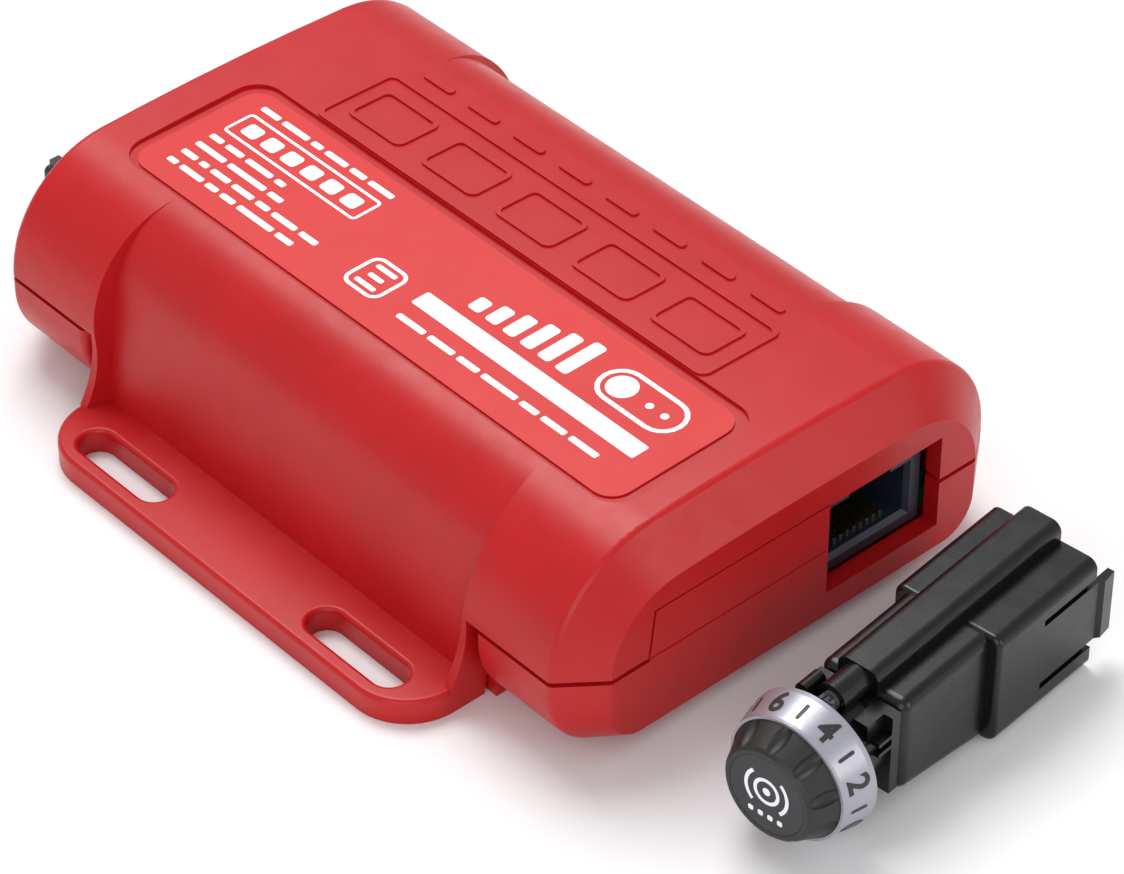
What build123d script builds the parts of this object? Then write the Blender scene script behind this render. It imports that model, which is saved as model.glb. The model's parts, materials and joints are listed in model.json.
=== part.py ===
from build123d import *
import os
from math import cos, radians, sqrt, tan

# Electric trailer brake controller: a flanged main module and the remote control head that
# plugs into it, in millimetres. The origin is on the main module's underside, midway between
# the four flange slots; +X points to the end with the remote lead socket and +Z points up.

# ---- driving dimensions: main module ----
SOCKET_END_X = 50.5
HEADER_END_X = -52.2
UNIT_WIDTH = 65.4
UNIT_HEIGHT = 27.3
CROWN_RADIUS = 400.0
TOP_CORNER_RADIUS = 15.0
BOTTOM_CORNER_RADIUS = 9.8
END_BASE = 2.4
BEVEL_LENGTH = 4.1
BEVEL_DEPTH = 5.2
WALL = 2.2
SEAM_LOW = 11.65
SEAM_HIGH = 12.25

POCKET_HALF_LENGTH = 31.2
POCKET_END_RISE = 0.11
POCKET_END_SPREAD = 0.2
RIB_OUTER_X = 33.0
RIB_INNER_X = 34.7
POCKET_CORNER_RADIUS = 11.5
POCKET_BASE_HALF_WIDTH = 31.9
POCKET_DRAFT = 10.0
RIB_FOOT_HALF_WIDTH = 35.0

FLANGE_THICKNESS = 3.25
FLANGE_HALF_WIDTH = 42.15
FLANGE_CORNER_RADIUS = 7.5
SLOT_LENGTH = 15.2
SLOT_WIDTH = 4.4
SLOT_X = 20.7
SLOT_Y = 37.85

TRAY_X = 34.2
TRAY_HALF_WIDTH = 29.5
TRAY_INNER_HALF_WIDTH = 27.0

POST_X = 40.0
POST_Y = 24.0
BOARD_BOTTOM = 4.65
BOARD_TOP = 6.25

SOCKET_Y = (4.5, 21.8)
SOCKET_Z = (5.64, 18.33)
TONGUE_Y = (-21.1, 4.5)
TONGUE_FOOT_Y = -22.1
JACK_FACE_X = 48.4

HEADER_Y = (-22.5, 5.5)
HEADER_Z = (6.5, 19.3)
HEADER_FACE_X = -54.8
HEADER_PANEL_X = (-49.8, -48.4)

RECESS_Y = (-20.2, 1.3)
RECESS_HALF_LENGTH = 42.9
LABEL_Y = (-19.6, 0.1)
LABEL_HALF_LENGTH = 41.5

# ---- driving dimensions: remote head (local frame: x across, y along the axis away from
# the knob face, z up; the origin is the centre of the knob face) ----
HEAD_POSITION = (71.5, -24.9, 9.0)
HEAD_TURN = 6.5
FRONT_Y = 14.7
STEP_Y = 29.2
REAR_Y = 46.4
FRONT_HALF_WIDTH = 5.75
REAR_HALF_WIDTH = 7.2
RIDGE_HALF_WIDTH = 2.7
HEAD_SHIFT = 0.55
HEAD_BOTTOM = -9.0
HEAD_WALL = 1.2
HEAD_SIDE_WALL = 0.7
SLIT_START_Y = 37.2
SLIT_WIDTH = 0.9
TONGUE_Z = (-5.2, 3.0)
TONGUE_TIP_Y = 49.5
LIGHT_Z = 6.4
SHAFT_RADIUS = 3.0
BORE_CLEARANCE = 0.05
KNOB_RADIUS = 7.25
RING_FRONT_RADIUS = 7.6
RING_RADIUS = 8.4
FLUTES = 10

TRANSISTOR_X = (-30.0, -20.0, -10.0)
TRANSISTOR_HOLE_Z = 17.6
INDUCTOR = (-20.0, 4.0)
FAR = 200.0

os.makedirs("parts", exist_ok=True)


# ---- helpers ----
def block(x, y, z):
    """Box between the (low, high) limits given for each axis."""
    size = [high - low for low, high in (x, y, z)]
    middle = [(high + low) / 2 for low, high in (x, y, z)]
    return Pos(*middle) * Box(*size)


def rod(radius, start, end, x=0.0, z=0.0):
    """Cylinder along Y between two Y values."""
    return Pos(x, (start + end) / 2, z) * Rot(90, 0, 0) * Cylinder(radius, end - start)


def post(radius, x, y, low, high):
    """Upright cylinder between two heights."""
    return Pos(x, y, (low + high) / 2) * Cylinder(radius, high - low)


def turned(points):
    """Solid of revolution about Y from (radius, y) points."""
    return revolve(make_face(Polyline(*points, close=True)), Axis.Y, 360)


def along_x(points, half_width):
    """Solid with a (y, z) outline, symmetric about X = 0."""
    return extrude(Plane.YZ * make_face(Polyline(*points, close=True)), half_width, both=True)


def mirrored(x, y):
    """The four points (+-x, +-y)."""
    return [(sx * x, sy * y) for sx in (-1, 1) for sy in (-1, 1)]


def joined(shapes):
    """Union of a list of shapes."""
    result = shapes[0]
    for shape in shapes[1:]:
        result += shape
    return result


def save(name, shape):
    """Write one node."""
    export_step(shape, f"parts/{name}.step")


def save_head(name, shape):
    """Write one node of the remote head, moved from its local frame."""
    save(name, Pos(*HEAD_POSITION) * Rot(0, 0, HEAD_TURN) * shape)


# ---- main module: envelope shared by both shells ----
def crown_drop(y):
    """How far the crowned top lies below its middle at a distance y from it."""
    return CROWN_RADIUS - sqrt(CROWN_RADIUS**2 - y**2)


def crowned_face(top, top_half_width, low_half_width, bottom, corner_radius):
    """Outline with a crowned top edge and two rounded top corners, in the (y, z) plane."""
    shoulder = top - crown_drop(top_half_width)
    crown = ThreePointArc((-top_half_width, shoulder), (0, top), (top_half_width, shoulder))
    sides = Polyline(
        (top_half_width, shoulder),
        (low_half_width, bottom),
        (-low_half_width, bottom),
        (-top_half_width, shoulder),
    )
    face = make_face([crown, *sides.edges()])
    return fillet(face.vertices().sort_by(Axis.Y)[-2:], corner_radius)


def end_face(inset, base):
    """Cross-section of the end blocks, moved inwards by inset, with its underside at the height base."""
    half = UNIT_WIDTH / 2 - inset
    face = crowned_face(UNIT_HEIGHT - inset, half, half, base, TOP_CORNER_RADIUS - inset)
    return fillet(face.vertices().sort_by(Axis.Y)[:2], BOTTOM_CORNER_RADIUS - inset)


def at_x(face, x):
    """A (y, z) outline placed on the plane at x."""
    return Pos(x, 0, 0) * (Plane.YZ * face)


def envelope(inset=0.0):
    """Closed block with bevelled ends; inset gives the cavity inside the shells."""
    bevel_length = BEVEL_LENGTH - 0.32 * inset
    bevel = BEVEL_DEPTH - 0.6 * inset
    body_face = end_face(inset, inset)
    tip_face = end_face(inset + bevel, END_BASE + inset)
    low = HEADER_END_X + inset
    high = SOCKET_END_X - inset
    body = extrude(at_x(body_face, low + bevel_length), high - low - 2 * bevel_length)
    body += loft([at_x(body_face, low + bevel_length), at_x(tip_face, low)], ruled=True)
    body += loft([at_x(body_face, high - bevel_length), at_x(tip_face, high)], ruled=True)
    return body


def rounded_bevels(body):
    """The envelope with its two bevel creases softened."""
    creases = (HEADER_END_X + BEVEL_LENGTH, SOCKET_END_X - BEVEL_LENGTH)
    edges = [edge for edge in body.edges() if min(abs(edge.center().X - x) for x in creases) < 0.01]
    return fillet(edges, 0.9)


def pocket_face(inset=0.0):
    """Cross-section between the ribs, with drafted walls."""
    slope = tan(radians(POCKET_DRAFT))
    side_inset = inset / cos(radians(POCKET_DRAFT))
    low = POCKET_BASE_HALF_WIDTH + FLANGE_THICKNESS * slope - side_inset
    top = UNIT_HEIGHT - inset
    high = POCKET_BASE_HALF_WIDTH - (top - 1.0 - FLANGE_THICKNESS) * slope - side_inset
    return crowned_face(top, high, low, 0.0, POCKET_CORNER_RADIUS - inset)


def pocket_plan(height):
    """Plan outline between the ribs at a height; the ends lean out upwards and towards the sides."""
    base = POCKET_HALF_LENGTH + POCKET_END_RISE * (height - FLANGE_THICKNESS)
    middle = base - POCKET_END_SPREAD * POCKET_BASE_HALF_WIDTH
    side = 50.0
    outer = middle + POCKET_END_SPREAD * side
    points = [(middle, 0), (outer, side), (-outer, side), (-middle, 0), (-outer, -side), (outer, -side)]
    return Pos(0, 0, height) * make_face(Polyline(*points, close=True))


def rib_foot_face():
    """Cross-section of a rib below the seam, flaring out to the flange."""
    half = UNIT_WIDTH / 2
    foot = RIB_FOOT_HALF_WIDTH
    right = ThreePointArc((half, SEAM_HIGH), (half + 0.45, 7.4), (foot, FLANGE_THICKNESS))
    left = ThreePointArc((-half, SEAM_HIGH), (-half - 0.45, 7.4), (-foot, FLANGE_THICKNESS))
    base = Polyline((foot, FLANGE_THICKNESS), (foot, 0), (-foot, 0), (-foot, FLANGE_THICKNESS))
    top = Line((-half, SEAM_HIGH), (half, SEAM_HIGH))
    return make_face([right, left, *base.edges(), top])


def flange():
    """Mounting flange on both long sides, with four slots."""
    outline = RectangleRounded(2 * RIB_OUTER_X, 2 * FLANGE_HALF_WIDTH, FLANGE_CORNER_RADIUS)
    slots = [Pos(x, y) * SlotOverall(SLOT_LENGTH, SLOT_WIDTH) for x, y in mirrored(SLOT_X, SLOT_Y)]
    plate = extrude(outline - slots, FLANGE_THICKNESS)
    rims = [edge for edge in plate.edges() if edge.center().Z > FLANGE_THICKNESS - 0.01]
    return fillet(rims, 0.6)


def emblem():
    """Raised frame with a plain row of rounded blocks, on the half of the top without a label."""
    frame_y = 7.6
    line = 0.55
    pattern = Pos(0, frame_y) * (RectangleRounded(66.6, 12.4, 1.4) - RectangleRounded(65.2, 11.0, 0.9))
    for x in (-26, -13, 0, 13, 26):
        cell = RectangleRounded(9.6, 6.8, 1.2) - RectangleRounded(9.6 - 2 * line, 6.8 - 2 * line, 0.8)
        pattern += Pos(x, frame_y) * cell
    for x in range(-28, 29, 8):
        pattern += Pos(x, 16.4) * RectangleRounded(5.0, 1.2, 0.5)
    raised = extrude(pattern, UNIT_HEIGHT + 1)
    layer = extrude(Plane.YZ * pocket_face(-0.28), RECESS_HALF_LENGTH, both=True)
    return raised & layer & block((-FAR, FAR), (0, FAR), (UNIT_HEIGHT - 1.5, FAR))


def label_tool(x_half, y_limits, radius, low, high):
    """Rounded plate between two heights above the sloping floor of the label recess."""
    tilt = 1.07
    middle = sum(y_limits) / 2
    width = y_limits[1] - y_limits[0]
    floor = UNIT_HEIGHT - 0.65
    plate = extrude(RectangleRounded(2 * x_half, width, radius), high - low)
    return Pos(0, middle, floor + low) * Rot(tilt, 0, 0) * plate


def upper_shell(outer, inner):
    """Cover with the two ribs on each side, the flanges and four screw posts."""
    pocket = extrude(Plane.YZ * pocket_face(), RIB_OUTER_X, both=True)
    middle = loft([pocket_plan(-1), pocket_plan(UNIT_HEIGHT + 5)], ruled=True)
    shell = (outer & block((-FAR, FAR), (-FAR, FAR), (SEAM_HIGH, FAR))) - (middle - pocket)
    shell += pocket
    foot = extrude(Plane.YZ * rib_foot_face(), RIB_OUTER_X, both=True)
    shell += foot - middle
    shell += flange()

    end_space = block((RIB_INNER_X, FAR), (-FAR, FAR), (-1, FAR))
    cavity = inner & (end_space + mirror(end_space, about=Plane.YZ))
    cavity += extrude(Plane.YZ * pocket_face(WALL), RIB_INNER_X + 0.1, both=True)
    posts = joined([post(3.0, x, y, BOARD_TOP + 0.1, UNIT_HEIGHT) for x, y in mirrored(POST_X, POST_Y)])
    shell = shell - cavity + (posts & outer)
    shell -= joined([post(1.55, x, y, 0, 17.0) for x, y in mirrored(POST_X, POST_Y)])
    shell -= block((46, 60), (TONGUE_Y[1] - 1, SOCKET_Y[1]), (0, SOCKET_Z[1]))
    shell -= tongue((46, 60), 0.3)
    shell -= block((-60, -46), (HEADER_Y[0] - 0.2, HEADER_Y[1] + 0.2), (0, HEADER_Z[1] + 1.2))
    shell -= label_tool(RECESS_HALF_LENGTH, RECESS_Y, 3.5, 0, 3)
    return shell + emblem()


def tongue(x_range, gap):
    """Upright tongue of the lower shell beside the lead socket, grown by gap for its notch."""
    top = SOCKET_Z[1] + 0.75 * gap
    points = [
        (TONGUE_FOOT_Y - gap, SEAM_LOW - 1),
        (TONGUE_Y[0] - gap, top),
        (TONGUE_Y[1], top),
        (TONGUE_Y[1], SEAM_LOW - 1),
    ]
    outline = make_face(Polyline(*points, close=True))
    return extrude(at_x(outline, x_range[0]), x_range[1] - x_range[0])


def lower_shell(outer, inner):
    """Base tray: wide at both ends, narrow between the ribs, with the tongue beside the socket."""
    ends = outer & block((-FAR, FAR), (-FAR, FAR), (-1, SEAM_LOW))
    ends -= block((-TRAY_X, TRAY_X), (-FAR, FAR), (-1, FAR))
    ends = fillet([edge for edge in ends.edges().filter_by(Axis.Z) if abs(edge.center().Y) > 30], 1.2)
    middle = block((-TRAY_X - 2, TRAY_X + 2), (-TRAY_HALF_WIDTH, TRAY_HALF_WIDTH), (0, WALL))
    middle += block((-TRAY_X - 2, TRAY_X + 2), (-28.8, 28.8), (0, 5.0))
    tray = ends + (middle & outer) + (middle & block((-TRAY_X, TRAY_X), (-FAR, FAR), (0, FAR)))
    inner_x = TRAY_X + WALL
    for side in ((inner_x, FAR), (-FAR, -inner_x)):
        tray -= inner & block(side, (-FAR, FAR), (WALL, FAR))
    tray -= block((-inner_x - 1, inner_x + 1), (-TRAY_INNER_HALF_WIDTH, TRAY_INNER_HALF_WIDTH), (WALL, FAR))
    tray += tongue((SOCKET_END_X - WALL, SOCKET_END_X), 0)
    tray -= block((SOCKET_END_X - 0.12, FAR), (TONGUE_FOOT_Y - 1, TONGUE_Y[1] - 0.4), (11.9, 12.15))
    tray -= block((46, 60), SOCKET_Y, (SOCKET_Z[0], FAR))
    tray -= block((-60, -46), (HEADER_Y[0] - 0.2, HEADER_Y[1] + 0.2), (HEADER_Z[0] - 0.2, FAR))
    for x, y in mirrored(POST_X, POST_Y):
        tray += post(3.6, x, y, WALL - 0.5, BOARD_BOTTOM)
        tray -= post(1.75, x, y, -1, 10)
        tray -= post(3.1, x, y, -1, 2.3)
    return tray


def case_screws():
    """Four pan-head screws from below, with a cross recess."""
    screws = []
    for x, y in mirrored(POST_X, POST_Y):
        screw = post(2.8, x, y, 0.3, 2.25) + post(1.5, x, y, 2.2, 16.0)
        for size in ((3.0, 0.7), (0.7, 3.0)):
            screw -= Pos(x, y, 0.6) * Box(*size, 1.4)
        screws.append(screw)
    return Compound(screws)


# ---- main module: electronics ----
def main_board():
    """Circuit board clamped between the shells' posts."""
    board = block((-46, 46), (-26.5, 26.5), (BOARD_BOTTOM, BOARD_TOP))
    for x, y in mirrored(POST_X, POST_Y):
        board -= post(1.8, x, y, 0, 10)
    return fillet(board.edges().filter_by(Axis.Z).group_by(Axis.X)[0], 1.5)


def on_board(x, y, length, width, height, gap=0.02):
    """Plain packaged part standing on the board."""
    low = BOARD_TOP + gap
    return block((x - length / 2, x + length / 2), (y - width / 2, y + width / 2), (low, low + height))


def socket_housing(width, height, depth, cavity_low, latch_low):
    """Eight-way modular jack, local frame: mouth on the plane y = 0 facing -y, centred on x."""
    opening = 11.7
    latch = 6.4
    body = block((-width / 2, width / 2), (0, depth), (0, height))
    cavity = block((-opening / 2, opening / 2), (-1, depth - 1.6), (cavity_low, latch_low))
    cavity += block((-latch / 2, latch / 2), (-1, depth - 4.0), (latch_low - 0.1, latch_low + 1.9))
    mouth = (body - cavity).edges().filter_by(lambda edge: abs(edge.center().Y) < 0.01)
    rim = mouth.filter_by(lambda edge: abs(edge.center().X) < opening / 2 + 0.01)
    return chamfer(rim.filter_by(lambda edge: 0.1 < edge.center().Z < latch_low - 0.01), 0.54)


def socket_contacts(depth, floor):
    """Eight sprung contact wires that slope up from the mouth into a jack's cavity."""
    wires = []
    for number in range(8):
        x = (number - 3.5) * 1.02
        outline = [(1.6, floor + 0.08), (1.6, floor + 0.4), (depth - 3.2, floor + 1.4)]
        outline += [(depth - 1.7, floor + 1.4), (depth - 1.7, floor + 0.08)]
        wire = extrude(Plane.YZ * make_face(Polyline(*outline, close=True)), 0.23, both=True)
        wires.append(Pos(x, 0, 0) * wire)
    return Compound(wires)


def power_header():
    """Shrouded power connector, with a panel flange inside the end wall."""
    depth = 8.2
    back = HEADER_FACE_X + depth
    shroud = block((HEADER_FACE_X, back + 3.5), HEADER_Y, HEADER_Z)
    cavity_y = (HEADER_Y[0] + 1.6, HEADER_Y[1] - 1.6)
    cavity = block((-FAR, back), cavity_y, (HEADER_Z[0] + 1.6, HEADER_Z[1] - 1.6))
    shroud = fillet(shroud.edges().filter_by(Axis.X), 0.8) - cavity
    panel_y = (HEADER_Y[0] - 1.4, HEADER_Y[1] + 1.4)
    panel = block(HEADER_PANEL_X, panel_y, (BOARD_TOP + 0.05, HEADER_Z[1] + 1.7))
    shroud += panel & envelope(WALL + 0.1)
    for y in (-21.2, -16.7, -0.3, 4.2):
        rail_x = (HEADER_FACE_X + 0.4, HEADER_PANEL_X[1])
        shroud += block(rail_x, (y - 0.7, y + 0.7), (HEADER_Z[1] - 0.5, HEADER_Z[1] + 1.0))
    for blade_y in blade_rows():
        shroud -= block((-FAR, -40), (blade_y - 0.45, blade_y + 0.45), (9.6, 16.2))
    return shroud


def blade_rows():
    """Y positions of the four power blades."""
    middle = sum(HEADER_Y) / 2
    return [middle + step * 6.0 for step in (-1.5, -0.5, 0.5, 1.5)]


def power_blades():
    """Four flat blades through the header, bent down to the board."""
    blades = []
    for y in blade_rows():
        blade = block((-52.5, -41.4), (y - 0.4, y + 0.4), (9.75, 16.05))
        blade += block((-42.2, -41.4), (y - 0.4, y + 0.4), (BOARD_TOP + 0.02, 16.05))
        blades.append(blade)
    return Compound(blades)


def heat_spreader():
    """Aluminium angle that carries the power transistors."""
    upright = block((-36, -4), (-24.0, -22.4), (BOARD_TOP + 0.02, 19.5))
    foot = block((-36, -4), (-22.5, -19.8), (BOARD_TOP + 0.02, BOARD_TOP + 1.4))
    plate = upright + foot
    for x in TRANSISTOR_X:
        plate -= rod(1.3, -25, -22, x, TRANSISTOR_HOLE_Z)
    return plate


def thermal_pad():
    """Insulating sheet between the heat spreader and the transistor tabs."""
    sheet = block((-35, -5), (-22.35, -22.05), (9.2, 19.4))
    return sheet - joined([rod(1.6, -23, -21, x, TRANSISTOR_HOLE_Z) for x in TRANSISTOR_X])


def power_transistors():
    """Three tabbed power transistors with their leads."""
    parts = []
    for x in TRANSISTOR_X:
        tab = block((x - 4.2, x + 4.2), (-22.0, -20.9), (9.4, 19.3))
        tab -= rod(1.6, -23, -20, x, TRANSISTOR_HOLE_Z)
        package = tab + block((x - 4.2, x + 4.2), (-21.0, -17.9), (9.4, 15.0))
        for lead in (-2.54, 0, 2.54):
            package += block((x + lead - 0.4, x + lead + 0.4), (-19.6, -19.1), (BOARD_TOP + 0.02 + 1.5, 9.5))
        parts.append(package)
    return Compound(parts)


def transistor_screws():
    """Screws that clamp the transistor tabs to the heat spreader."""
    screws = []
    for x in TRANSISTOR_X:
        shank = rod(1.25, -23.9, -20.8, x, TRANSISTOR_HOLE_Z)
        screws.append(shank + rod(2.4, -20.85, -19.2, x, TRANSISTOR_HOLE_Z))
    return Compound(screws)


def bulk_capacitors():
    """Radial electrolytic capacitors."""
    cans = []
    for radius, x, y, height in ((5.0, 3.0, -9.0, 15.5), (5.0, 3.0, 2.5, 15.5), (4.0, 3.0, 13.5, 12.0)):
        can = post(radius, x, y, BOARD_TOP + 0.05, BOARD_TOP + height)
        can -= Pos(x, y, BOARD_TOP + 1.6) * Torus(radius + 0.35, 0.6)
        cans.append(can)
    return Compound(cans)


def inductor_core():
    """Toroidal ferrite core."""
    x, y = INDUCTOR
    return post(8.5, x, y, 8.0, 14.0) - post(4.6, x, y, 0, 30)


def inductor_winding():
    """Sixteen separate turns of heavy wire round the core."""
    turns = []
    for number in range(16):
        ring = Box(6.1, 1.05, 8.2) - Box(4.2, 2.0, 6.3)
        turns.append(Pos(*INDUCTOR, 11.0) * Rot(0, 0, number * 22.5) * Pos(6.55, 0, 0) * ring)
    return Compound(turns)


def current_shunt():
    """Bridge-shaped current-sense strip."""
    low = BOARD_TOP + 0.02
    strip = block((-38, -26), (17.0, 21.0), (low, low + 4.5))
    return strip - block((-37.2, -26.8), (16, 22), (low - 1, low + 3.7))


def small_components():
    """Surface-mount resistors and capacitors."""
    chips = []
    for column in range(6):
        for row in range(3):
            chips.append(on_board(12.0 + 3.4 * column, 3.0 * row - 17.0, 2.0, 1.25, 0.8))
    return Compound(chips)


def write_main_module():
    """Every node of the main module."""
    outer = rounded_bevels(envelope())
    inner = envelope(WALL)
    save("upper_shell", upper_shell(outer, inner))
    save("lower_shell", lower_shell(outer, inner))
    save("rating_label", label_tool(LABEL_HALF_LENGTH, LABEL_Y, 2.8, 0.05, 0.25))
    save("case_screws", case_screws())
    save("main_board", main_board())
    jack_middle = 12.8
    jack_place = Pos(JACK_FACE_X, jack_middle, BOARD_TOP + 0.05) * Rot(0, 0, 90)
    save("lead_socket", jack_place * socket_housing(15.8, 11.7, 14.0, 1.8, 9.0))
    save("lead_socket_contacts", jack_place * socket_contacts(14.0, 1.8))
    save("power_header", power_header())
    save("power_blades", power_blades())
    save("heat_spreader", heat_spreader())
    save("thermal_pad", thermal_pad())
    save("power_transistors", power_transistors())
    save("transistor_screws", transistor_screws())
    save("bulk_capacitors", bulk_capacitors())
    save("inductor_core", inductor_core())
    save("inductor_winding", inductor_winding())
    save("current_shunt", current_shunt())
    save("microcontroller", on_board(20, -2, 10, 10, 1.4))
    save("motion_sensor", on_board(33, -2, 4, 4, 1.0))
    save("timing_crystal", on_board(20, 9, 11, 4.6, 3.4))
    save("small_components", small_components())


# ---- remote head ----
def head_outline(y, top, bottom, half_width):
    """Wedge between two Y values; top and bottom give the height at each."""
    points = [(y[0], top[0]), (y[1], top[1]), (y[1], bottom[1]), (y[0], bottom[0])]
    return along_x(points, half_width)


def snap_tongue(inner_x):
    """Free end of the snap tongue on the +x side, with its catch, lapped onto the side wall."""
    outline = [
        (inner_x, REAR_Y - 1.0),
        (REAR_HALF_WIDTH, REAR_Y - 1.0),
        (REAR_HALF_WIDTH, REAR_Y + 0.5),
        (REAR_HALF_WIDTH + 0.45, REAR_Y + 1.1),
        (REAR_HALF_WIDTH + 0.2, TONGUE_TIP_Y),
        (inner_x, TONGUE_TIP_Y),
    ]
    plan = make_face(Polyline(*outline, close=True))
    return Pos(0, 0, TONGUE_Z[0]) * extrude(plan, TONGUE_Z[1] - TONGUE_Z[0], dir=(0, 0, 1))


def head_body():
    """Tapered housing with ridges above and below and two snap tongues at the rear."""
    wide_fillet = 1.3
    shift = Pos(HEAD_SHIFT, 0, 0)
    front = head_outline((FRONT_Y, STEP_Y + 1), (6.0, 6.2), (-6.4, -8.7), FRONT_HALF_WIDTH)
    rear = head_outline((STEP_Y, REAR_Y), (6.2, 6.4), (-8.7, HEAD_BOTTOM), REAR_HALF_WIDTH)
    front = shift * fillet(front.edges().filter_by(lambda edge: edge.length > 10), wide_fillet)
    long_edges = rear.edges().filter_by(lambda edge: edge.center().Y > STEP_Y + 1 and edge.length > 16)
    rear = fillet(long_edges, wide_fillet)
    rear = shift * fillet(rear.edges().filter_by(lambda edge: edge.center().Y < STEP_Y + 0.01), 0.6)
    ridge = head_outline((FRONT_Y, REAR_Y), (8.4, 8.8), (4.0, 4.0), RIDGE_HALF_WIDTH)
    ridge = fillet(ridge.edges().filter_by(lambda edge: edge.length > 10).group_by(Axis.Z)[-1], wide_fillet)
    keel = head_outline((FRONT_Y + 2, REAR_Y), (-5.0, -5.0), (HEAD_BOTTOM, HEAD_BOTTOM), RIDGE_HALF_WIDTH)
    body = front + rear + ridge + keel

    inner_front = FRONT_HALF_WIDTH - HEAD_SIDE_WALL
    inner_rear = REAR_HALF_WIDTH - HEAD_SIDE_WALL
    body -= shift * head_outline((FRONT_Y + HEAD_WALL, STEP_Y + 2), (4.8, 4.9), (-5.2, -7.4), inner_front)
    body -= shift * head_outline((STEP_Y + HEAD_WALL, REAR_Y + 1), (4.9, 4.9), (-7.5, -7.7), inner_rear)
    body -= rod(SHAFT_RADIUS + 1.0, FRONT_Y - 1, FRONT_Y + 3)
    body -= rod(1.5, FRONT_Y - 1, FRONT_Y + 9, z=LIGHT_Z)
    slits = block((inner_rear - 0.3, FAR), (SLIT_START_Y, FAR), (TONGUE_Z[1], TONGUE_Z[1] + SLIT_WIDTH))
    slits += block((inner_rear - 0.3, FAR), (SLIT_START_Y, FAR), (TONGUE_Z[0] - SLIT_WIDTH, TONGUE_Z[0]))
    body += shift * (snap_tongue(inner_rear) + mirror(snap_tongue(inner_rear), about=Plane.YZ))
    return body - shift * (slits + mirror(slits, about=Plane.YZ))


def head_front_frame():
    """Front plate with the bushing boss, the light tube and small posts."""
    plate = block((-4.9, 5.9), (13.3, FRONT_Y - 0.05), (-5.6, 5.2))
    frame = plate + rod(5.3, 9.6, 13.4) + rod(1.9, 10.3, FRONT_Y - 0.05, z=LIGHT_Z)
    frame += block((-1.2, 1.2), (11.5, FRONT_Y - 0.05), (4.5, LIGHT_Z))
    frame += block((2.7, 4.7), (10.6, 13.4), (3.0, 5.2))
    frame += block((-4.7, -3.3), (10.8, 13.4), (3.6, 5.0))
    frame += rod(0.9, 10.4, 13.4, x=-4.0, z=5.1)
    for z in (1.0, 2.4):
        frame += block((4.6, 5.9), (11.2, 13.4), (z, z + 0.5))
    frame -= rod(SHAFT_RADIUS + 0.95, 8, FRONT_Y + 1)
    return frame - rod(1.2, 8, FRONT_Y + 1, z=LIGHT_Z)


def socket_place():
    """Head socket: mouth at the rear, facing away from the knob."""
    return Pos(HEAD_SHIFT, REAR_Y - 0.4, -7.4) * Rot(0, 0, 180)


def knob_cap():
    """Fluted conical knob with a recess for its face disc."""
    points = [(0, 0.36), (5.0, 0.36), (5.0, 0), (5.5, 0), (5.9, 0.4), (KNOB_RADIUS, 3.4), (KNOB_RADIUS, 5.2)]
    points += [(SHAFT_RADIUS + 0.02, 5.2), (SHAFT_RADIUS + 0.02, 1.4), (0, 1.4)]
    cap = turned(points)
    cone_angle = 24.0
    dent = scale(Sphere(1.0), by=(1.05, 2.3, 1.1))
    for number in range(FLUTES):
        turn = Rot(0, number * 360 / FLUTES, 0)
        cap -= turn * Pos(0, 1.7, 7.05) * Rot(cone_angle, 0, 0) * dent
    return cap


def dial_ring():
    """Conical translucent ring that carries the numbers."""
    bore = KNOB_RADIUS + 0.03
    points = [(bore, 3.3), (RING_FRONT_RADIUS, 3.3), (RING_FRONT_RADIUS, 3.7), (RING_RADIUS, 7.3)]
    return turned(points + [(RING_RADIUS, 7.9), (7.6, 7.9), (7.45, 5.6), (bore, 5.2)])


def encoder_body():
    """Rotary encoder block with a stepped bore for the shaft and the switch plunger."""
    body = block((-4.3, 4.9), (16.0, 22.6), (-4.7, 4.6))
    body -= rod(SHAFT_RADIUS + BORE_CLEARANCE, 15, 21.0)
    return body - rod(1.55, 20, 24)


def write_remote_head():
    """Every node of the remote head."""
    save_head("head_body", head_body())
    save_head("head_front_frame", head_front_frame())
    bushing = rod(SHAFT_RADIUS + 0.9, 7.4, 15.95) - rod(SHAFT_RADIUS + BORE_CLEARANCE, 7, 17)
    save_head("encoder_bushing", bushing)
    save_head("bushing_nut", rod(5.0, 7.7, 9.5) - rod(SHAFT_RADIUS + 0.92, 7, 10))
    save_head("encoder_body", encoder_body())
    save_head("head_board", block((-4.3, 5.3), (22.8, 31.0), (-6.0, -5.0)))
    save_head("push_switch", block((-3.0, 3.0), (24.4, 27.4), (-4.95, 3.0)))
    save_head("status_lamp", rod(1.4, 17.0, 21.5, z=LIGHT_Z))
    pipe = rod(1.1, 10.0, 16.8, z=LIGHT_Z)
    for x in (-0.7, 0, 0.7):
        pipe += block((x - 0.2, x + 0.2), (9.3, 10.1), (LIGHT_Z - 0.8, LIGHT_Z + 0.6))
    save_head("light_pipe", pipe)
    save_head("head_socket", socket_place() * socket_housing(12.9, 11.9, 13.0, 1.6, 8.8))
    save_head("head_socket_contacts", socket_place() * socket_contacts(13.0, 1.6))
    save_head("switch_plunger", rod(2.9, 18.85, 19.85) + rod(1.5, 19.8, 23.3))
    save_head("knob_shaft", rod(SHAFT_RADIUS, 1.45, 18.8))
    save_head("knob_cap", knob_cap())
    save_head("knob_face_disc", rod(4.95, 0.02, 0.34))
    save_head("dial_ring", dial_ring())


write_main_module()
write_remote_head()
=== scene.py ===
import json
from math import atan2, cos, pi, radians, sin

import bmesh
import bpy
from mathutils import Matrix, Vector


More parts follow.
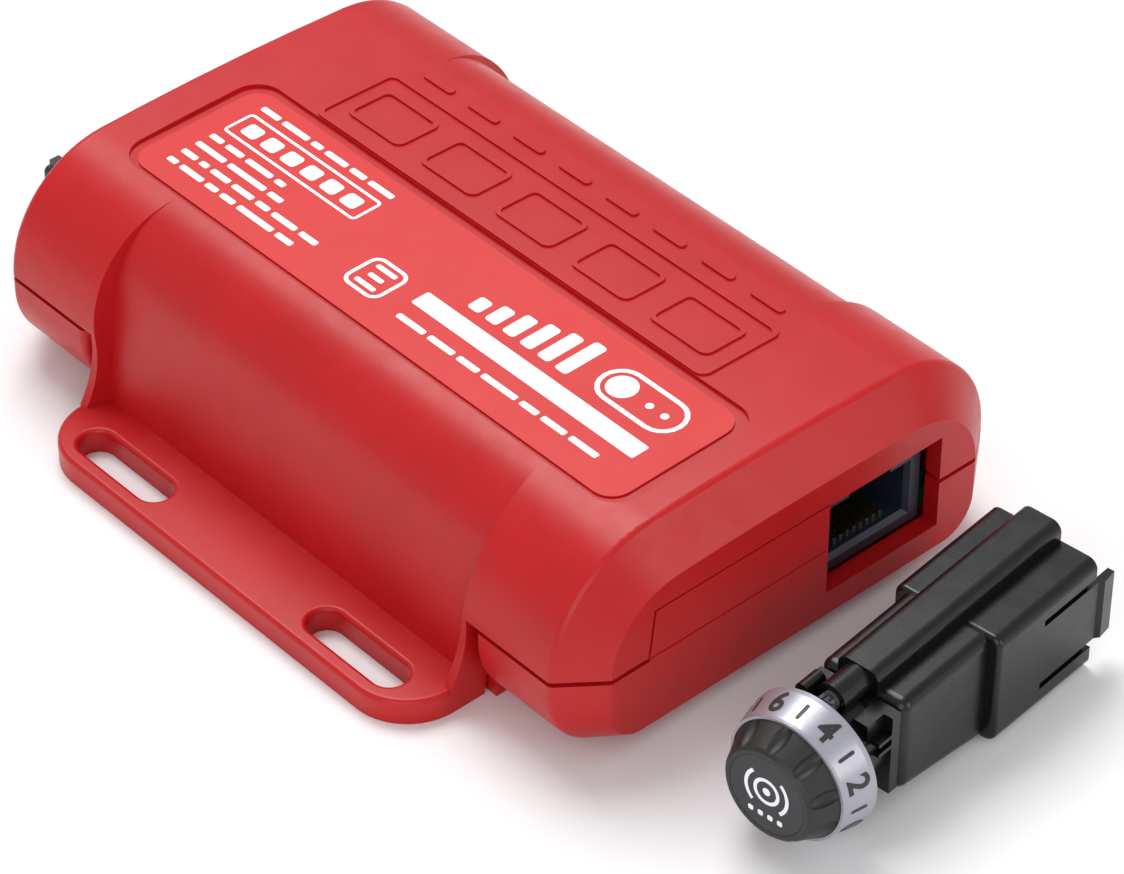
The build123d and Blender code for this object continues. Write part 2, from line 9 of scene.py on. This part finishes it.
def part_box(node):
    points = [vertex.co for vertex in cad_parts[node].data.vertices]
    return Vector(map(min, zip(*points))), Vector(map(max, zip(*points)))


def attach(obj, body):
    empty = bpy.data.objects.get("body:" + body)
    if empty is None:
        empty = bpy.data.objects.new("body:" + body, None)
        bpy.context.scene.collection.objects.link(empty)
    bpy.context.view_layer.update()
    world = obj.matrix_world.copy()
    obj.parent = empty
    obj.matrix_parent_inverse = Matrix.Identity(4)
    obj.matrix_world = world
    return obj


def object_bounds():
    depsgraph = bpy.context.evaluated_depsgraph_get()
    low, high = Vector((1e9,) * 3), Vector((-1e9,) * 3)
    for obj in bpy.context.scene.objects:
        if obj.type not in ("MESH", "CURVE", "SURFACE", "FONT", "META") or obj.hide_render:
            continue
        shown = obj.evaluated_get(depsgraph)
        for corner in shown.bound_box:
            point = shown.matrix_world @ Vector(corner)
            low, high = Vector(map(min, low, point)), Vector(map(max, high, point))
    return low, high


# Trailer brake controller: a red main module and its black remote head. Lengths below are in
# millimetres unless a name says otherwise; MM turns them into the frame's metres.
MM = 0.001

CAMERA_TARGET = Vector((5.6, 5.7, -0.5)) * MM
CAMERA_AZIMUTH = 48.14
CAMERA_ELEVATION = 39.79
CAMERA_DISTANCE = 534.7 * MM
CAMERA_LENS = 146.76

PRINT_THICKNESS = 0.02
PRINT_LIFT = 0.035
LONGEST_GLYPH_EDGE = 0.5
GLYPH_CUT_ROUNDS = 3
LABEL_FILM = 0.2
LABEL_PRINT_LIFT = 0.006
LABEL_LEFT = -38.2
BAR_HEIGHT = 0.85
BAR_GAP = 0.7
NUMBER_STEP = 24.0
NUMBER_AT_TOP = 5
NUMBER_HEIGHT = 2.7
FONT_SIZE_PER_HEIGHT = 1.4
NUMBER_BOLDNESS = 0.10
LAST_NUMBER = 10
RING_FRONT = (3.7, 7.6)
RING_REAR = (7.3, 8.4)
RING_MIDDLE = (RING_FRONT[0] + RING_REAR[0]) / 2

# Middle range of a noise texture, features per metre of the two patch noises, world strength.
NOISE_RANGE = (0.3, 0.7)
COLOUR_PATCHES = 90
ROUGHNESS_PATCHES = 350
FLOOR_HALF_SIZE = 3.0
FLOOR_DROP = 0.05
WORLD_STRENGTH = 0.55
LIGHTS = (
    ("key", (-0.35, 0.15, 0.75), 0.5, 5),
    ("front", (0.55, -0.75, 0.45), 0.7, 3),
    ("side", (0.9, 0.35, 0.35), 0.5, 2),
)

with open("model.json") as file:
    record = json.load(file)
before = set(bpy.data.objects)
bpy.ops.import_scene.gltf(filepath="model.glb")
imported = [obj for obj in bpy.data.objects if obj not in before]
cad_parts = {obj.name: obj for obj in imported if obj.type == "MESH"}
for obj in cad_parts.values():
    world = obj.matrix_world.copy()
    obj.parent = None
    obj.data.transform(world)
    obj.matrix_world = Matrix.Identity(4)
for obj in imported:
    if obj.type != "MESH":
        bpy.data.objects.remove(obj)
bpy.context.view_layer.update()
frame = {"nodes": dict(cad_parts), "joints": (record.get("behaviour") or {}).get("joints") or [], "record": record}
joints = {joint["name"]: joint for joint in frame["joints"]}
nodes = frame["nodes"]


# ---- materials ----
def node_tree(name):
    """New material with its node tree and its shader."""
    material = bpy.data.materials.new(name)
    material.use_nodes = True
    tree = material.node_tree
    return material, tree, tree.nodes["Principled BSDF"]


def noise(tree, scale, detail, stretch=(1, 1, 1)):
    """Noise in the object's own coordinates; scale is in features per metre."""
    coordinates = tree.nodes.new("ShaderNodeTexCoord")
    mapping = tree.nodes.new("ShaderNodeMapping")
    mapping.inputs["Scale"].default_value = stretch
    texture = tree.nodes.new("ShaderNodeTexNoise")
    texture.inputs["Scale"].default_value = scale
    texture.inputs["Detail"].default_value = detail
    tree.links.new(coordinates.outputs["Object"], mapping.inputs["Vector"])
    tree.links.new(mapping.outputs["Vector"], texture.inputs["Vector"])
    return texture.outputs["Fac"]


def ramp(tree, factor, low, high):
    """Colour ramp between two colours."""
    node = tree.nodes.new("ShaderNodeValToRGB")
    node.color_ramp.elements[0].position = NOISE_RANGE[0]
    node.color_ramp.elements[1].position = NOISE_RANGE[1]
    node.color_ramp.elements[0].color = (*low, 1)
    node.color_ramp.elements[1].color = (*high, 1)
    tree.links.new(factor, node.inputs["Fac"])
    return node.outputs["Color"]


def remap(tree, factor, low, high):
    """Maps the middle of a noise onto low..high."""
    node = tree.nodes.new("ShaderNodeMapRange")
    node.inputs["From Min"].default_value = NOISE_RANGE[0]
    node.inputs["From Max"].default_value = NOISE_RANGE[1]
    node.inputs["To Min"].default_value = low
    node.inputs["To Max"].default_value = high
    tree.links.new(factor, node.inputs["Value"])
    return node.outputs["Result"]


def grain(tree, shader, size, depth, stretch):
    """Moulded or brushed surface grain of the given feature size and depth, in millimetres."""
    bump = tree.nodes.new("ShaderNodeBump")
    bump.inputs["Strength"].default_value = 1.0
    bump.inputs["Distance"].default_value = depth * MM
    tree.links.new(noise(tree, 1 / (size * MM), 3.0, stretch), bump.inputs["Height"])
    tree.links.new(bump.outputs["Normal"], shader.inputs["Normal"])


def surface(name, colour, roughness, grain_size=0.25, grain_depth=0.01, variation=0.06,
            metallic=0.0, stretch=(1, 1, 1), roughness_spread=0.04, settings=()):
    """Solid material: varied colour and roughness over large patches, and a fine grain."""
    material, tree, shader = node_tree(name)
    low = [channel * (1 - variation) for channel in colour]
    high = [min(1.0, channel * (1 + variation)) for channel in colour]
    tree.links.new(ramp(tree, noise(tree, COLOUR_PATCHES, 3), low, high), shader.inputs["Base Color"])
    patches = noise(tree, ROUGHNESS_PATCHES, 4)
    rough = remap(tree, patches, roughness - roughness_spread, roughness + roughness_spread)
    tree.links.new(rough, shader.inputs["Roughness"])
    shader.inputs["Metallic"].default_value = metallic
    grain(tree, shader, grain_size, grain_depth, stretch)
    for socket, value in settings:
        shader.inputs[socket].default_value = value
    return material


RED = (0.47, 0.0065, 0.008)
materials = {
    "red_shell": surface("red_shell", RED, 0.36, 0.22, 0.012, 0.05, settings=[("Specular IOR Level", 0.36)]),
    "label_film": surface("label_film", (0.60, 0.020, 0.018), 0.42, 0.5, 0.003, 0.03,
                          settings=[("Specular IOR Level", 0.35)]),
    "steel": surface("steel", (0.62, 0.62, 0.63), 0.32, 0.1, 0.004, 0.08, 1.0),
    "circuit_board": surface("circuit_board", (0.02, 0.20, 0.07), 0.35, 0.6, 0.01, 0.15),
    "socket_plastic": surface("socket_plastic", (0.012, 0.018, 0.034), 0.36, 0.15, 0.008, 0.1),
    "gold_contact": surface("gold_contact", (0.95, 0.72, 0.28), 0.22, 0.1, 0.002, 0.05, 1.0),
    "tin_blade": surface("tin_blade", (0.72, 0.72, 0.70), 0.3, 0.1, 0.003, 0.06, 1.0),
    "black_plastic": surface("black_plastic", (0.016, 0.016, 0.018), 0.38, 0.18, 0.01, 0.1),
    "aluminium": surface("aluminium", (0.78, 0.78, 0.80), 0.36, 0.2, 0.004, 0.05, 1.0, (1, 1, 8)),
    "thermal_pad": surface("thermal_pad", (0.33, 0.42, 0.55), 0.75, 0.3, 0.02, 0.1),
    "chip_epoxy": surface("chip_epoxy", (0.022, 0.022, 0.024), 0.6, 0.12, 0.01, 0.15),
    "capacitor_sleeve": surface("capacitor_sleeve", (0.02, 0.022, 0.05), 0.22, 0.8, 0.004, 0.1),
    "ferrite": surface("ferrite", (0.10, 0.10, 0.11), 0.55, 0.15, 0.02, 0.2),
    "copper_wire": surface("copper_wire", (0.78, 0.30, 0.12), 0.25, 0.2, 0.003, 0.1, 1.0),
    "head_plastic": surface("head_plastic", (0.0045, 0.0042, 0.0048), 0.27, 0.16, 0.008, 0.1,
                            settings=[("Specular IOR Level", 0.42)]),
    "clear_plastic": surface("clear_plastic", (0.9, 0.93, 0.95), 0.08, 0.5, 0.002, 0.02,
                             settings=[("Transmission Weight", 0.9), ("IOR", 1.49)]),
    "white_nylon": surface("white_nylon", (0.82, 0.82, 0.79), 0.5, 0.2, 0.006, 0.03),
    "knob_rubber": surface("knob_rubber", (0.014, 0.012, 0.0115), 0.48, 0.14, 0.016, 0.15),
    "knob_disc": surface("knob_disc", (0.014, 0.013, 0.016), 0.42, 0.12, 0.008, 0.1),
    "ring_plastic": surface("ring_plastic", (0.34, 0.34, 0.39), 0.33, 0.25, 0.008, 0.08, 0.4,
                            settings=[("Coat Weight", 0.4), ("Coat Roughness", 0.2)]),
    "white_print": surface("white_print", (0.86, 0.87, 0.90), 0.45, 0.3, 0.003, 0.03),
    "black_print": surface("black_print", (0.018, 0.018, 0.020), 0.45, 0.3, 0.003, 0.1),
    "floor": surface("floor", (0.88, 0.88, 0.89), 0.75, 3.0, 0.02, 0.01),
}


def dress_cad_nodes():
    """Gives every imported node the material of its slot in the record."""
    for entry in frame["record"]["subparts"]:
        node = nodes[entry["node"]]
        node.data.materials.clear()
        node.data.materials.append(materials[entry["material_slot"]])


# ---- flat printed shapes ----
def rounded_rectangle(x, y, width, height, radius, corner_points=5):
    """Closed loop of a rounded rectangle centred on (x, y)."""
    loop = []
    corners = ((1, 1, 0), (-1, 1, 90), (-1, -1, 180), (1, -1, 270))
    for side_x, side_y, start in corners:
        centre_x = x + side_x * (width / 2 - radius)
        centre_y = y + side_y * (height / 2 - radius)
        for step in range(corner_points + 1):
            angle = radians(start + 90 * step / corner_points)
            loop.append((centre_x + radius * cos(angle), centre_y + radius * sin(angle)))
    return loop


def circle(x, y, radius, points=40):
    """Closed loop of a circle."""
    angles = [2 * pi * i / points for i in range(points)]
    return [(x + radius * cos(a), y + radius * sin(a)) for a in angles]


def arc_band(x, y, radius, width, start, end, points=16):
    """Closed loop of a band along an arc, in degrees."""
    angles = [radians(start + (end - start) * i / points) for i in range(points + 1)]
    outer = [(x + (radius + width / 2) * cos(a), y + (radius + width / 2) * sin(a)) for a in angles]
    inner = [(x + (radius - width / 2) * cos(a), y + (radius - width / 2) * sin(a)) for a in reversed(angles)]
    return outer + inner


def frame_loops(x, y, width, height, radius, line):
    """Outline of a rounded rectangle with a line of the given width."""
    outer = rounded_rectangle(x, y, width, height, radius)
    inner = rounded_rectangle(x, y, width - 2 * line, height - 2 * line, max(radius - line, 0.05))
    return [outer, inner]


def mesh_from_curve(curve):
    """Mesh of a curve or text, which is then removed."""
    holder = bpy.data.objects.new(curve.name, curve)
    bpy.context.scene.collection.objects.link(holder)
    bpy.context.view_layer.update()
    depsgraph = bpy.context.evaluated_depsgraph_get()
    mesh = bpy.data.meshes.new_from_object(holder.evaluated_get(depsgraph))
    bpy.data.objects.remove(holder)
    return mesh


def flat_mesh(name, loops):
    """Thin mesh of closed loops; a loop inside another is a hole."""
    curve = bpy.data.curves.new(name, "CURVE")
    curve.dimensions = "2D"
    curve.fill_mode = "BOTH"
    curve.extrude = PRINT_THICKNESS / 2
    for loop in loops:
        spline = curve.splines.new("POLY")
        spline.points.add(len(loop) - 1)
        for point, (x, y) in zip(spline.points, loop):
            point.co = (x, y, 0, 1)
        spline.use_cyclic_u = True
    return mesh_from_curve(curve)


def add_piece(name, mesh, place, material, body):
    """Puts a millimetre mesh in place and makes it ride on a body."""
    mesh.transform(place @ Matrix.Scale(MM, 4))
    mesh.materials.clear()
    mesh.materials.append(materials[material])
    piece = bpy.data.objects.new(name, mesh)
    bpy.context.scene.collection.objects.link(piece)
    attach(piece, body)
    return piece


# ---- label printing: plain bars, blocks and symbols in place of any words ----
def label_place():
    """Centre of the label's top face, with its slight tilt."""
    low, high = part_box("rating_label")
    film = LABEL_FILM * MM
    tilt = atan2(high.z - low.z - film, high.y - low.y)
    middle = Vector(((low.x + high.x) / 2, (low.y + high.y) / 2, (low.z + high.z + film) / 2))
    lift = Matrix.Translation((0, 0, LABEL_PRINT_LIFT * MM))
    return Matrix.Translation(middle) @ Matrix.Rotation(tilt, 4, "X") @ lift


def word_bars(x, y, widths, height, gap):
    """Row of solid rounded bars, starting at x."""
    loops = []
    for width in widths:
        loops.append(rounded_rectangle(x + width / 2, y, width, height, height * 0.3, 3))
        x += width + gap
    return loops


def label_loops():
    """All white printing on the label."""
    loops = word_bars(LABEL_LEFT, 7.5, (3.2, 4.6, 1.8, 3.8, 2.6, 4.2), BAR_HEIGHT, BAR_GAP)
    loops += frame_loops(-26.3, 3.7, 23.8, 4.6, 0.7, 0.4)
    for column in range(6):
        loops.append(rounded_rectangle(-35.3 + 3.6 * column, 3.7, 2.5, 2.2, 0.5, 3))
    rows = (
        (-0.2, (2.2, 3.0, 4.6, 1.6)),
        (-2.3, (5.2, 6.6, 2.4)),
        (-4.4, (2.6, 1.4, 3.2, 3.6, 2.2, 4.2, 3.0)),
        (-6.5, (1.6, 4.0, 2.0, 2.4, 6.2, 2.8)),
    )
    for y, widths in rows:
        loops += word_bars(LABEL_LEFT, y, widths, BAR_HEIGHT, BAR_GAP)
    loops += frame_loops(-4.6, -3.4, 6.0, 6.0, 1.5, 0.5)
    for row, width in enumerate((3.4, 2.4, 3.4)):
        loops.append(rounded_rectangle(-4.6, -5.0 + 1.6 * row, width, 0.7, 0.3, 3))
    for index, height in enumerate((2.4, 3.2, 4.0, 4.8, 5.6, 6.4)):
        loops.append(rounded_rectangle(7.0 + 2.9 * index, 0.8 + height / 2, 1.9, height, 0.45, 3))
    loops += frame_loops(31.4, 4.0, 12.6, 6.0, 3.0, 0.6)
    loops += [circle(28.2, 4.0, 1.9), circle(35.0, 4.0, 0.5), circle(32.6, 4.0, 0.5)]
    loops.append(rounded_rectangle(19.5, -2.0, 36.4, 2.6, 0.3, 3))
    loops += word_bars(2.0, -5.8, (4.6, 4.2, 3.4, 5.6, 2.8, 3.8, 4.4), BAR_HEIGHT, BAR_GAP)
    return loops


def add_label_printing():
    """White print on the rating label."""
    mesh = flat_mesh("label_printing", label_loops())
    add_piece("label_printing", mesh, label_place(), "white_print", "module")


# ---- remote head: numbers on the ring and a symbol on the knob ----
def head_place():
    """Head frame: x across, y along the axis away from the knob face, z up."""
    joint = joints["knob_turn"]
    turn = atan2(joint["axis"][0], -joint["axis"][1])
    return Matrix.Translation(joint["pos_m"]) @ Matrix.Rotation(turn, 4, "Z")


def ring_point(angle, along, lift):
    """Point on the conical ring, clockwise from the top seen from the knob face."""
    share = (along - RING_FRONT[0]) / (RING_REAR[0] - RING_FRONT[0])
    radius = RING_FRONT[1] + share * (RING_REAR[1] - RING_FRONT[1]) + lift
    return Vector((radius * sin(angle), along, radius * cos(angle)))


def wrap_on_ring(mesh, angle, along_middle):
    """Bends a flat mesh, x clockwise and y towards the head, onto the ring."""
    middle_radius = (RING_FRONT[1] + RING_REAR[1]) / 2
    shape = bmesh.new()
    shape.from_mesh(mesh)
    for _ in range(GLYPH_CUT_ROUNDS):
        long_edges = [edge for edge in shape.edges if edge.calc_length() > LONGEST_GLYPH_EDGE]
        bmesh.ops.subdivide_edges(shape, edges=long_edges, cuts=1)
        bmesh.ops.triangulate(shape, faces=shape.faces)
    shape.to_mesh(mesh)
    shape.free()
    for vertex in mesh.vertices:
        x, y, z = vertex.co
        vertex.co = ring_point(angle + x / middle_radius, along_middle + y, z + PRINT_LIFT)


def number_mesh(text):
    """Centred bold number."""
    curve = bpy.data.curves.new("number_" + text, "FONT")
    curve.body = text
    curve.align_x = "CENTER"
    curve.align_y = "CENTER"
    curve.size = NUMBER_HEIGHT * FONT_SIZE_PER_HEIGHT
    curve.offset = NUMBER_BOLDNESS
    curve.extrude = PRINT_THICKNESS / 2
    return mesh_from_curve(curve)


def add_dial_numbers():
    """Even numbers from 0 to 10 with a line at each odd one."""
    for value in range(LAST_NUMBER + 1):
        angle = radians((NUMBER_AT_TOP - value) * NUMBER_STEP)
        if value % 2:
            name = f"dial_line_{value}"
            mesh = flat_mesh(name, [rounded_rectangle(0, 0, 0.42, 2.1, 0.2, 3)])
        else:
            mesh = number_mesh(str(value))
            name = f"dial_number_{value}"
        wrap_on_ring(mesh, angle, RING_MIDDLE)
        add_piece(name, mesh, head_place(), "black_print", "knob")


def face_symbol_loops():
    """Generic brake symbol: a ring between two arcs, over a short row of marks."""
    loops = [circle(0, 0.5, 1.75), circle(0, 0.5, 1.3), circle(0, 0.5, 0.5)]
    loops += [arc_band(0, 0.5, 2.75, 0.45, -48, 48), arc_band(0, 0.5, 2.75, 0.45, 132, 228)]
    loops += word_bars(-2.35, -2.9, (0.7, 0.7, 0.7, 0.7), 0.7, 0.6)
    return loops


def add_face_symbol():
    """White symbol printed on the knob's face disc."""
    upright = Matrix.Rotation(radians(90), 4, "X")
    place = head_place() @ upright
    mesh = flat_mesh("knob_symbol", face_symbol_loops())
    add_piece("knob_symbol", mesh, place, "white_print", "knob")


# ---- stage, light and camera ----
def add_floor():
    """Plain pale floor under the object."""
    size = FLOOR_HALF_SIZE
    mesh = bpy.data.meshes.new("floor")
    corners = [(-size, -size, 0), (size, -size, 0), (size, size, 0), (-size, size, 0)]
    mesh.from_pydata(corners, [], [(0, 1, 2, 3)])
    floor = bpy.data.objects.new("floor", mesh)
    floor.location.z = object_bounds()[0].z - FLOOR_DROP * MM
    mesh.materials.append(materials["floor"])
    bpy.context.scene.collection.objects.link(floor)


def add_light(name, position, size, power):
    """Square soft box aimed at the object's middle."""
    data = bpy.data.lights.new(name, "AREA")
    data.size = size
    data.energy = power
    light = bpy.data.objects.new(name, data)
    light.location = position
    light.rotation_euler = (CAMERA_TARGET - Vector(position)).to_track_quat("-Z", "Y").to_euler()
    bpy.context.scene.collection.objects.link(light)


def add_world():
    """Even white studio surround."""
    world = bpy.data.worlds.new("studio")
    world.use_nodes = True
    background = world.node_tree.nodes["Background"]
    background.inputs["Color"].default_value = (1, 1, 1, 1)
    background.inputs["Strength"].default_value = WORLD_STRENGTH
    bpy.context.scene.world = world


def add_camera():
    """Long lens from above the near right corner."""
    azimuth, elevation = radians(CAMERA_AZIMUTH), radians(CAMERA_ELEVATION)
    back = Vector((sin(azimuth) * cos(elevation), -cos(azimuth) * cos(elevation), sin(elevation)))
    data = bpy.data.cameras.new("camera")
    data.lens = CAMERA_LENS
    data.sensor_width = 36
    data.clip_start = 0.01
    data.clip_end = 20
    camera = bpy.data.objects.new("camera", data)
    camera.location = CAMERA_TARGET + back * CAMERA_DISTANCE
    camera.rotation_euler = (-back).to_track_quat("-Z", "Y").to_euler()
    bpy.context.scene.collection.objects.link(camera)
    bpy.context.scene.camera = camera


dress_cad_nodes()
add_label_printing()
add_dial_numbers()
add_face_symbol()
add_floor()
for light_name, light_position, light_size, light_power in LIGHTS:
    add_light(light_name, light_position, light_size, light_power)
add_world()
add_camera()
bpy.context.scene.view_settings.view_transform = "Standard"
